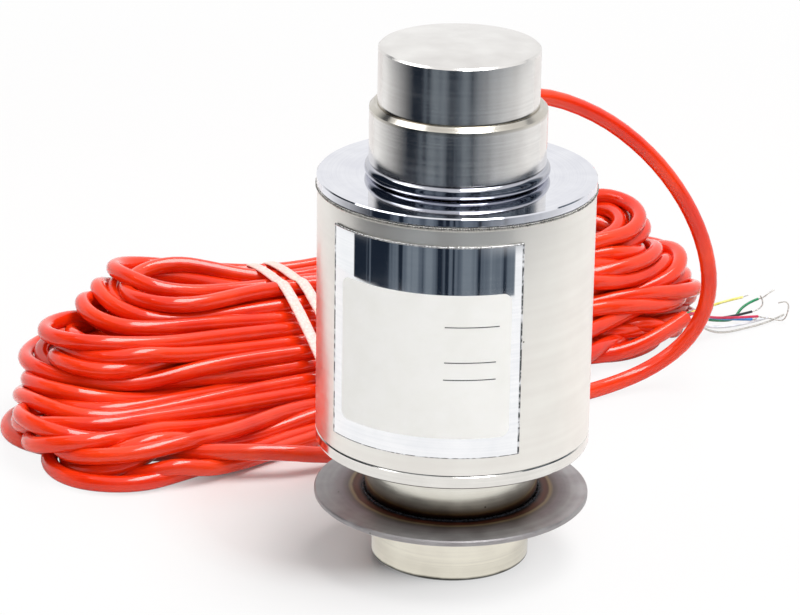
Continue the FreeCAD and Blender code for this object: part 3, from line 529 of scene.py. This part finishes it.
# Corners of its section: side, inset from that side's edge, share of half the thickness
TIE_CORNERS = [(-1, 0, -0.4), (-1, 0, 0.4), (-1, 0.4, 0.9), (-1, 1.2, 1.0), (1, 1.2, 1.0),
               (1, 0.4, 0.9), (1, 0, 0.4), (1, 0, -0.4), (1, 0.4, -0.9), (-1, 0.4, -0.9)]
tie_profile = [(side * (TIE_WIDTH / 2 - inset), lift * TIE_THICKNESS / 2)
               for side, inset, lift in TIE_CORNERS]
turn_places = np.stack([(coil - HANK_START) @ ALONG, (coil - HANK_START) @ ACROSS, coil[:, 2]],
                       axis=1)
round_tie = np.linspace(0, 2 * math.pi, TIE_STEPS, endpoint=False)
tie_mesh = bpy.data.meshes.new("elastic_tie")
verts, faces = [], []
for place, sway in TIE_WRAPS:
    tie_along = place - sway * np.cos(round_tie - TIE_LEAN)
    close = np.abs(turn_places[:, 0] - place) < sway + WRAP_MARGIN
    close &= turn_places[:, 1] > LOOSE_BEYOND
    wrapped = turn_places[close][:, 1:]
    reach = np.array([(wrapped @ (math.cos(angle), math.sin(angle))).max() for angle in round_tie])
    for _ in range(WRAP_SMOOTHING):
        reach = (np.roll(reach, 1) + 2 * reach + np.roll(reach, -1)) / 4
    slope = (np.roll(reach, -1) - np.roll(reach, 1)) / (2 * (round_tie[1] - round_tie[0]))
    reach = reach + CABLE_DIAMETER / 2 + TIE_THICKNESS / 2
    for step, angle in enumerate(round_tie):
        out = np.array([math.cos(angle), math.sin(angle)])
        side = np.array([-out[1], out[0]])
        middle = reach[step] * out + slope[step] * side
        for wide, high in tie_profile:
            across, up = middle + out * high
            up = max(up, TIE_THICKNESS / 2 + WRAP_LIFT + high)
            verts.append(Vector(hank_place(tie_along[step] + wide, across, up)) * MM)
    count = len(tie_profile)
    first = len(verts) - TIE_STEPS * count
    for step in range(TIE_STEPS):
        here, there = first + step * count, first + (step + 1) % TIE_STEPS * count
        faces += [(here + k, here + (k + 1) % count, there + (k + 1) % count, there + k)
                  for k in range(count)]
tie_mesh.from_pydata(verts, [], faces)
tie_mesh.shade_smooth()
elastic_tie = add_object("elastic_tie", tie_mesh)
# Undyed thermoplastic elastic: pale and a little waxy, with a fine mottle.
tie_mesh.materials.append(grained(
    "pale_elastic_strip", "#EDBFB6", "#F7D9D2", 0.8, (0.38, 0.55), 0.05,
    Subsurface_Weight=0.15, Subsurface_Scale=0.002))
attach(elastic_tie, "root")
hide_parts("hank_tie")

# Stripped cores
# Six tinned copper cores in coloured insulation and the bare drain wire of the screen fan
# out of the cut jacket. Their bared strands are twisted and curl at the tips.
CORE_RADIUS, CORE_PITCH, DRAIN_RADIUS, STRAND_SHARE, CORE_STUB = 0.45, 1.05, 0.35, 0.5, 3.0
cut_end = Vector(TAIL_ROUTE[-1])
outward = (cut_end - Vector(TAIL_ROUTE[-2])).normalized()
left = Vector((-outward.y, outward.x, 0)).normalized()
upright = outward.cross(left)
# colour: start angle on the cut end, places along the insulation up to its tip, insulation
# colours, places along the bared strand
CORES = {
    "yellow": (0, [(84.5, 174, 9.6), (91, 186, 7.6), (98.8, 197.2, 5.2)], "#E8D84C", "#FAF08C",
               [(101, 198.8, 5.5)]),
    "green": (60, [(84, 172, 6.5), (92, 182.5, 2.2), (95.5, 186.5, 1.4), (98.6, 190.2, 5.2),
                   (103.8, 194, 5.9)], "#0B7A4A", "#1C9A66",
              [(105.4, 193.4, 6.4), (107.2, 193.8, 8.2), (109, 194.4, 9)]),
    "black": (300, [(84.5, 173, 6.6), (92.8, 184, 2.7), (101.5, 189.6, 3)], "#14151C", "#2A2C36",
              [(103.5, 189.9, 3.5), (105.2, 190.7, 5), (104.9, 191, 7), (104.2, 191.4, 8)]),
    "blue": (240, [(84.5, 172.5, 7.2), (93.6, 181, 3.4), (101.4, 187, 1.2)], "#1F78C8", "#4A9CE2",
             [(103.2, 188, 1.1)]),
    "red": (120, [(84, 172, 7.4), (93.4, 180, 4.2), (103.1, 184.9, 3.1)], "#B8183F", "#D63560",
            [(105.8, 185.4, 2.4)]),
    "white": (180, [(83, 169.5, 5.5), (89, 175.5, 2.4), (99, 182, 1.5), (106.6, 188.8, 1.3)],
              "#DDE1E8", "#F4F6FA",
              [(109.4, 187.4, 1), (111.9, 186.1, 1.2), (113.2, 187.1, 4), (113.3, 186.7, 7),
               (111.5, 185, 8.6), (109.6, 183.4, 8.5)]),
}
DRAIN_PLACES = [(83, 168.5, 5), (90, 174, 0.9), (99, 180.5, 0.6), (107, 186, 0.8),
                (112.4, 192.5, 1)]
# Tinned copper strand, twisted: dull silver, broken into fine bright and dark specks, which
# are drawn a few times coarser than the real wires so that they show.
tinned_strand = grained("twisted_tinned_copper", "#A8A5A0", "#DFDDD8", 0.35, (0.25, 0.5), 0.05,
                        Metallic=1.0)
# Extruded core insulation: a clear colour, faintly uneven along the core, with a soft gloss.
core_pieces = []
for colour, (angle, insulated, dark, light, bared) in CORES.items():
    turn = math.radians(angle)
    start = cut_end + left * (CORE_PITCH * math.cos(turn)) + upright * (CORE_PITCH * math.sin(turn))
    insulated = [Vector(place) for place in insulated]
    runs = [([start, start + outward * CORE_STUB] + insulated, 1.0),
            ([insulated[-1]] + [Vector(place) for place in bared], STRAND_SHARE)]
    insulation = grained(f"{colour}_core_insulation", dark, light, 3.0, (0.28, 0.4))
    core_pieces.append((f"core_wire_{colour}", CORE_RADIUS, runs, [insulation, tinned_strand],
                        f"core_{colour}", f"core_{colour}"))
drain_run = [cut_end, cut_end + outward * CORE_STUB] + [Vector(place) for place in DRAIN_PLACES]
core_pieces.append(("bare_drain_wire", DRAIN_RADIUS, [(drain_run, 1.0)], [tinned_strand],
                    "drain_wire", "tinned_copper"))
for name, radius, runs, materials, node, slot in core_pieces:
    core_curve = round_curve(name, radius, 8, 2)
    for number, (places, thickness) in enumerate(runs):
        core_curve.materials.append(materials[number])
        add_line(core_curve, places, thickness, number)
    wire = add_object(name, core_curve)
    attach(wire, "root")
    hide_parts(node)

# Load column
# One turning of precipitation-hardened stainless steel: button, collar, necks and foot,
# ground all round. The weld of the retaining plate has tinted the lower neck straw and brown.

# The marks' noise is sampled at this scale, and blotches have this share of the tone. The edge
# of a film, or of painted shade, wanders this far in millimetres. Pits lie about this far apart
# in millimetres and fade between these shares of that distance.
MARK_SCALE, BLOTCH_SHARE = 25.0, 0.7
TINT_WANDER = 0.4
PIT_SPACING, PIT_RIM, PIT_CORE, PIT_COLOUR = 4.5, 0.07, 0.04, "#4A443E"


def turned_steel(name, dark, light, gloss, marks=0.5, relief=0.002, blotch=9.0, faced=0.0,
                 pits=0.1, film_and_shade=None, bare=1.0):
    """Turned, ground or polished steel. Marks run round the axis, their spacing in millimetres;
    faced is 1 where flat faces carry them too. Blotches vary its gloss, pits are tiny dark
    specks, its film tints it by height or radius in millimetres, with oxides and in places with
    painted shade, and bare is the share of the surface that reflects as clean metal."""
    material, tree, shader = new_material(name, Metallic=bare)
    spot, radius, height, _ = axis_places(tree)
    level = add_node(tree, "Math", {0: radius, 1: faced, 2: height},
                     operation="MULTIPLY_ADD").outputs[0]
    packed = add_node(tree, "Math", {0: level, 1: 1 / (MARK_SCALE * MM * marks)},
                      operation="MULTIPLY").outputs[0]
    parts = add_node(tree, "SeparateXYZ", {0: spot}).outputs
    round_axis = add_node(tree, "CombineXYZ", {0: parts["X"], 1: parts["Y"], 2: packed}).outputs[0]
    scratch = add_node(tree, "TexNoise", {"Vector": round_axis, "Scale": MARK_SCALE, "Detail": 0.0})
    scratch = scratch.outputs["Fac"]
    patch = add_node(tree, "TexNoise", {"Vector": spot, "Scale": 1 / (blotch * MM), "Detail": 3.0})
    patch = patch.outputs["Fac"]
    both = add_node(tree, "Mix", {0: BLOTCH_SHARE, 2: scratch, 3: patch}).outputs[0]
    tone = add_node(tree, "ValToRGB", {"Fac": both},
                    [(NOISE_DARK, dark), (NOISE_LIGHT, light)]).outputs[0]
    if film_and_shade:
        source, stops = film_and_shade
        low, high = stops[0][0], stops[-1][0]
        stops = [((place - low) / (high - low), colour) for place, colour in stops]
        run = {"height": height, "radius": radius}[source]
        wander = add_node(tree, "MapRange", {"Value": patch, "To Min": -TINT_WANDER * MM,
                                             "To Max": TINT_WANDER * MM}).outputs[0]
        run = add_node(tree, "Math", {0: run, 1: wander}, operation="ADD").outputs[0]
        share = add_node(tree, "MapRange", {"Value": run, "From Min": low * MM,
                                            "From Max": high * MM})
        tint = add_node(tree, "ValToRGB", {"Fac": share.outputs[0]}, stops)
        tone = mixed(tree, 1.0, tone, tint.outputs[0], "MULTIPLY")
    cells = add_node(tree, "TexVoronoi", {"Vector": spot, "Scale": 1 / (PIT_SPACING * MM)}).outputs
    near = add_node(tree, "MapRange", {"Value": cells["Distance"], "From Min": PIT_RIM,
                                       "From Max": PIT_CORE}).outputs[0]
    chosen = add_node(tree, "SeparateXYZ", {0: cells["Color"]}).outputs["X"]
    chosen = add_node(tree, "Math", {0: chosen, 1: pits}, operation="LESS_THAN").outputs[0]
    pit = add_node(tree, "Math", {0: near, 1: chosen}, operation="MULTIPLY").outputs[0]
    tone = mixed(tree, pit, tone, linear(PIT_COLOUR))
    tree.links.new(tone, shader.inputs["Base Color"])
    rough = add_node(tree, "MapRange", {
        "Value": both, "From Min": NOISE_DARK, "From Max": NOISE_LIGHT,
        "To Min": gloss[0], "To Max": gloss[1]})
    tree.links.new(rough.outputs[0], shader.inputs["Roughness"])
    bump = add_node(tree, "Bump", {"Distance": relief * MM, "Height": scratch})
    tree.links.new(bump.outputs[0], shader.inputs["Normal"])
    return material


def finish_node(name, material):
    """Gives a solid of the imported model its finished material."""
    nodes[name].material_slots[0].material = material


# Ground stainless: bright, with fine marks round the axis, drawn a few times coarser than the
# real ones. By height, its film is the weld's oxides from blue-black through brown and straw to
# clean. The same tint by height paints shade: a dark band along the foot's lower edge and a
# shaded line under the button.
finish_node("load_column", turned_steel(
    "ground_stainless_17_4", "#DEDBD8", "#EBE9E6", (0.13, 0.21), marks=0.5, relief=0.0015,
    # The lowest stops and those from 131 mm up are painted shade; those at the weld are its oxides.
    film_and_shade=("height", [
        (0, "#24261F"), (1.8, "#24261F"), (2.1, "#FFFCEE"), (20.0, "#FFFDF2"), (20.6, "#2A2320"),
        (21.6, "#54443A"), (22.5, "#AE9678"), (23.8, "#E9E2CE"), (27, "#F8F8EE"), (35, "#FFFFFF"),
        (131.0, "#FFFFFF"), (131.3, "#DDDAD2"), (133.15, "#DDDAD2"), (133.25, "#55534F"),
        (133.5, "#55534F"), (133.6, "#FFFFFF"), (150, "#FFFFFF")])))

# Top cover and sealing lip
# A turned stainless cover that closes the housing tube from above, and a thin lip rolled from
# stainless sheet that seals it to the collar. Both are buffed after welding.

# Buffed steel: a cool clear mirror, in which marks and pits hardly show.
finish_node("top_cover", turned_steel(
    "buffed_mirror_stainless", "#DDDEE6", "#E8E9EF", (0.03, 0.07), marks=0.4, relief=0.0006,
    faced=1.0, pits=0.03))
# Rolled sheet: as clear a mirror, but its colour is darkened all over, a painted shade that stands
# for the dark reflections in its folds.
finish_node("upper_bellows", turned_steel(
    "rolled_mirror_painted_shade", "#AAACB5", "#BFC0C8", (0.03, 0.07), marks=0.4, relief=0.0006,
    pits=0.03))

# Housing tube
# A drawn stainless tube, brushed round its axis, with the cover welded into its top. The
# weld was dressed back, and a fine row of beads is left round it.

# Brushed steel: a satin sheen that blurs what it mirrors. The real brush lines are too fine
# to show, so they are drawn 1.6 mm apart and very faint.
finish_node("outer_sleeve", turned_steel(
    "brushed_stainless_tube", "#E9E6E0", "#F0EEE8", (0.285, 0.315), marks=1.6, relief=0.0001,
    blotch=14.0, pits=0.05))


# A bead's faces round and up, and the least and most of its size by axis
BEAD_SEGMENTS, BEAD_RINGS = 8, 5
BEAD_LEAST, BEAD_MOST = (0.85, 0.85, 0.75), (1.15, 1.15, 1.1)


def bead_ring(name, material, seed, sizes):
    """A ring of overlapping weld beads, from a node tree whose inputs are its sizes in metres."""
    tree = bpy.data.node_groups.new(name, "GeometryNodeTree")
    for label in sizes:
        kind = "NodeSocketInt" if label == "Bead Count" else "NodeSocketFloat"
        tree.interface.new_socket(label, in_out="INPUT", socket_type=kind)
    tree.interface.new_socket("Geometry", in_out="OUTPUT", socket_type="NodeSocketGeometry")
    given = add_node(tree, "NodeGroupInput").outputs
    ring = add_node(tree, "GeometryNodeMeshCircle", {"Vertices": given["Bead Count"],
                                                     "Radius": given["Ring Radius"]})
    place = add_node(tree, "CombineXYZ", {"Z": given["Height"]})
    ring = add_node(tree, "GeometryNodeTransform", {"Geometry": ring.outputs[0],
                                                    "Translation": place.outputs[0]})
    bead = add_node(tree, "GeometryNodeMeshUVSphere", {
        "Segments": BEAD_SEGMENTS, "Rings": BEAD_RINGS, "Radius": given["Bead Radius"]})
    spread = add_node(tree, "FunctionNodeRandomValue", {0: BEAD_LEAST, 1: BEAD_MOST, "Seed": seed},
                      data_type="FLOAT_VECTOR")
    beads = add_node(tree, "GeometryNodeInstanceOnPoints", {
        "Points": ring.outputs[0], "Instance": bead.outputs["Mesh"], "Scale": spread.outputs[0]})
    smooth = add_node(tree, "GeometryNodeSetShadeSmooth", {"Geometry": beads.outputs[0]})
    whole = add_node(tree, "GeometryNodeRealizeInstances", {"Geometry": smooth.outputs[0]})
    finished = add_node(tree, "GeometryNodeSetMaterial", {"Geometry": whole.outputs[0],
                                                          "Material": material})
    add_node(tree, "NodeGroupOutput", {0: finished.outputs[0]})
    ring_object = add_object(name, bpy.data.meshes.new(name + "_seed"))
    modifier = ring_object.modifiers.new(name, "NODES")
    modifier.node_group = tree
    for socket in tree.interface.items_tree:
        if socket.in_out == "INPUT":
            modifier[socket.identifier] = sizes[socket.name]
    grown = ring_object.evaluated_get(bpy.context.evaluated_depsgraph_get())
    shape = bpy.data.meshes.new_from_object(grown)
    ring_object.modifiers.remove(modifier)
    ring_object.data = shape
    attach(ring_object, "root")
    return ring_object


# Dressed weld metal: bright, uneven, a little duller than the tube.
dressed_weld = turned_steel("dressed_stainless_weld", "#8E8B85", "#C4C1BB", (0.2, 0.45),
                            relief=0.01, blotch=1.5, faced=1.0, pits=0.0)
cover_seam = bead_ring("cover_seam", dressed_weld, 5, {
    "Ring Radius": 38.05 * MM, "Height": 109.8 * MM, "Bead Radius": 0.5 * MM, "Bead Count": 340})

# Nameplate
# Thin stainless sheet, mirror polished, glued round the tube. A dark line runs round its edge,
# and along the top a bright burr stands up.
PLATE_RADIUS, PLATE_LOW, PLATE_HIGH, PLATE_WIDTH = 38.55, 44.8, 104.8, 57.0
PLATE_MIDDLE = math.radians(-15.5)
EDGE_LINE = 0.22
# The dark line comes and goes along the edge in spots of about this size, between these
# values of its noise, and never goes altogether.
EDGE_SPOT_GRAIN, EDGE_SPOT_THIN, EDGE_SPOT_THICK, EDGE_SPOT_LEAST = 1.4, 0.35, 0.55, 0.25
# Polished sheet: the clearest and whitest mirror of all, with a dark line round its edge.
plate_mirror = turned_steel("polished_nameplate_sheet", "#EEF0F3", "#F7F8FA", (0.02, 0.05),
                            marks=0.6, relief=0.0002, pits=0.06)
tree = plate_mirror.node_tree
shader = tree.nodes["Principled BSDF"]
_, _, height, angle = axis_places(tree)
aside = add_node(tree, "Math", {0: angle, 1: PLATE_MIDDLE}, operation="SUBTRACT").outputs[0]
aside = add_node(tree, "Math", {0: aside}, operation="ABSOLUTE").outputs[0]
half_turn = PLATE_WIDTH / 2 / PLATE_RADIUS
side_edge = add_node(tree, "Math", {0: aside, 1: half_turn - EDGE_LINE / PLATE_RADIUS},
                     operation="GREATER_THAN").outputs[0]
above = add_node(tree, "Math", {0: height, 1: (PLATE_LOW + PLATE_HIGH) / 2 * MM},
                 operation="SUBTRACT").outputs[0]
above = add_node(tree, "Math", {0: above}, operation="ABSOLUTE").outputs[0]
end_edge = add_node(tree, "Math", {0: above, 1: ((PLATE_HIGH - PLATE_LOW) / 2 - EDGE_LINE) * MM},
                    operation="GREATER_THAN").outputs[0]
edge = add_node(tree, "Math", {0: side_edge, 1: end_edge}, operation="MAXIMUM").outputs[0]
spot = add_node(tree, "TexCoord").outputs["Object"]
edge_spots = add_node(tree, "TexNoise", {"Vector": spot, "Scale": 1 / (EDGE_SPOT_GRAIN * MM), "Detail": 1.0})
edge_spots = add_node(tree, "MapRange", {"Value": edge_spots.outputs["Fac"], "From Min": EDGE_SPOT_THIN,
                                    "From Max": EDGE_SPOT_THICK, "To Min": EDGE_SPOT_LEAST}).outputs[0]
edge = add_node(tree, "Math", {0: edge, 1: edge_spots}, operation="MULTIPLY").outputs[0]
clean = shader.inputs["Base Color"].links[0].from_socket
tree.links.new(mixed(tree, edge, clean, linear("#55575A")), shader.inputs["Base Color"])
finish_node("nameplate", plate_mirror)

# The burr starts this deep in the sheet and this far below its top edge, and how far its top
# and its bulge stray is drawn for each step.
BURR_HEIGHT, BURR_THICKNESS, BURR_DEPTH, BURR_BELOW = 0.55, 0.2, 0.1, 0.25
TOP_STRAY, BULGE_STRAY = (-0.12, 0.12), (-0.08, 0.10)
BURR_STEPS, BURR_CORNERS = 260, 5
burr_mesh = bpy.data.meshes.new("nameplate_burr")
verts, faces = [], []
for step in range(BURR_STEPS + 1):
    turn = PLATE_MIDDLE + half_turn * (2 * step / BURR_STEPS - 1)
    ragged = chance.uniform(*TOP_STRAY)
    bulge = BURR_THICKNESS + chance.uniform(*BULGE_STRAY)
    for out, up in ((-0.1, 0.0), (bulge, 0.1), (bulge + 0.1, 0.3 + ragged),
                    (BURR_THICKNESS / 2, BURR_HEIGHT + ragged), (-0.1, BURR_HEIGHT)):
        ridge = PLATE_RADIUS - BURR_DEPTH + out
        side, front = ridge * math.sin(turn), -ridge * math.cos(turn)
        verts.append(Vector((side, front, PLATE_HIGH - BURR_BELOW + up)) * MM)
    if step:
        here, there = BURR_CORNERS * step, BURR_CORNERS * (step - 1)
        for k in range(BURR_CORNERS):
            after = (k + 1) % BURR_CORNERS
            faces.append((there + k, here + k, here + after, there + after))
faces += [tuple(range(BURR_CORNERS)),
          tuple(BURR_CORNERS * BURR_STEPS + k for k in reversed(range(BURR_CORNERS)))]
burr_mesh.from_pydata(verts, [], faces)
burr_mesh.shade_smooth()
# Sheared edge: torn and dull, and bright where the tool wiped it.
burr_mesh.materials.append(turned_steel(
    "sheared_sheet_edge", "#A4A4A6", "#DCDCDA", (0.12, 0.4), relief=0.02, blotch=0.6, faced=1.0,
    pits=0.3))
nameplate_burr = add_object("nameplate_burr", burr_mesh)
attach(nameplate_burr, "root")

# Sticker
# A sticker of white vinyl, pressed onto the nameplate. It is bare but for three thin black
# rules to write on.
LABEL_RADIUS, RULE_WIDTH = 38.47, 0.3
# Height, and start and end along the sticker from the middle of the cell's front
RULES = [(82.45, -3.1, 11.7), (72.4, -3.1, 10.9), (67.5, -3.3, 10.9)]
# Calendered vinyl: an even, faintly warm white with a matt sheen.
vinyl = grained("white_vinyl_sticker", "#F8F9F5", "#FDFEFB", 7.0, (0.34, 0.46), 0.01)
tree = vinyl.node_tree
shader = tree.nodes["Principled BSDF"]
_, _, height, angle = axis_places(tree)
tone = shader.inputs["Base Color"].links[0].from_socket
for level, start, end in RULES:
    beside = add_node(tree, "Math", {
        0: angle, 1: (start + end) / 2 / LABEL_RADIUS, 2: (end - start) / 2 / LABEL_RADIUS},
        operation="COMPARE").outputs[0]
    along = add_node(tree, "Math", {0: height, 1: level * MM, 2: RULE_WIDTH / 2 * MM},
                     operation="COMPARE").outputs[0]
    printed = add_node(tree, "Math", {0: beside, 1: along}, operation="MULTIPLY").outputs[0]
    tone = mixed(tree, printed, tone, linear("#3A3B3E"))
tree.links.new(tone, shader.inputs["Base Color"])
finish_node("label", vinyl)

# Bottom ring
# A turned stainless ring with a rounded corner. It closes the housing tube from below, round
# the column's lower neck, and is buffed bright.

# Buffed steel: bright, but a little warmer and duller than the top cover.
finish_node("bottom_cover", turned_steel(
    "buffed_base_ring", "#DDDBD6", "#E9E7E2", (0.08, 0.16), marks=0.5, relief=0.0006, pits=0.02))

# Retaining plate and its weld
# A disc of cold-rolled steel, slipped over the foot and welded to the neck with a narrow bead
# that left a straw ring and blue-black oxide.

# Rolled steel: grey, dull and scratched, and a third of it still under its mill skin. By
# radius, its film runs from the weld's oxides through brown and straw to clean.
finish_node("retaining_plate", turned_steel(
    "dull_rolled_steel", "#8F8B8C", "#A8A5A6", (0.36, 0.52), marks=1.2, relief=0.0004, blotch=6.0,
    faced=1.0, pits=0.06, bare=0.65, film_and_shade=("radius", [
        (24, "#2B2422"), (25.3, "#4A2A22"), (26.3, "#A05438"), (27.3, "#8E5A42"), (27.9, "#F0D8A4"),
        (28.2, "#E4CEA2"), (28.9, "#B5A6A2"), (30.5, "#DED4D6"), (34, "#FFFFFF")])))
# Weld oxide: blue-black scale, glassy in places.
weld_scale = grained("blue_black_weld_scale", "#0E1116", "#30333B", 0.8, (0.15, 0.45), 0.1,
                     Metallic=0.8)
foot_weld = bead_ring("foot_weld", weld_scale, 3, {
    "Ring Radius": 24.55 * MM, "Height": 20.45 * MM, "Bead Radius": 0.55 * MM, "Bead Count": 260})
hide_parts("plate_weld")

# Cable gland
# A nickel-plated brass gland with a rubber ring and bush, screwed into a boss that is welded
# into the back of the tube.

# Machined stainless: satin, with clear tool marks.
finish_node("gland_boss", turned_steel(
    "machined_stainless_boss", "#C9C7C2", "#DEDCD7", (0.2, 0.32), marks=0.4, relief=0.004))
# Nickel plate over brass: warm silver, softly bright. Nitrile rubber: near black and dull.
nickel = grained("nickel_plated_brass", "#C6C1B3", "#DAD5C7", 2.5, (0.14, 0.26), 0.01, Metallic=1.0)
rubber = grained("black_nitrile_rubber", "#0D0D0E", "#1B1B1C", 0.6, (0.5, 0.7), 0.02)
for name in ("gland_body", "gland_nut"):
    finish_node(name, nickel)
for name in ("gland_oring", "gland_seal"):
    finish_node(name, rubber)
finish_node("inner_cable", jacket)

# Inside the housing
# Foil strain gauges, bonded to the column's four flats, and their enamelled leads to a
# converter board, which is screwed to brass standoffs.

# Etched foil and enamelled wire are copper brown, the solder mask and the terminal's nylon
# green, the chips' epoxy black and dull, the standoffs brass and the screws zinc grey.
foil = grained("etched_gauge_foil", "#A8642A", "#C98A45", 0.5, (0.3, 0.5), 0.01)
enamel = grained("enamelled_copper", "#7A3414", "#96491F", 2.0, (0.2, 0.35))
laminate = grained("green_solder_mask", "#0E4A26", "#176236", 1.2, (0.3, 0.45), 0.01)
epoxy = grained("black_epoxy_chip", "#121213", "#1E1E20", 0.3, (0.5, 0.65), 0.01)
nylon = grained("green_nylon_terminal", "#1C6238", "#257A48", 1.0, (0.35, 0.5), 0.01)
brass = grained("turned_brass", "#B99A4E", "#D2B566", 0.5, (0.2, 0.35), 0.01, Metallic=1.0)
zinc = grained("zinc_plated_steel", "#A5A8AD", "#BFC2C7", 0.8, (0.25, 0.4), 0.01, Metallic=1.0)
for side in ("front", "right", "back", "left"):
    finish_node(f"strain_gauge_{side}", foil)
    finish_node(f"gauge_lead_{side}", enamel)
for number in (1, 2, 3):
    finish_node(f"board_standoff_{number}", brass)
    finish_node(f"board_screw_{number}", zinc)
finish_node("circuit_board", laminate)
for name in ("adc_chip", "processor_chip"):
    finish_node(name, epoxy)
finish_node("terminal_block", nylon)
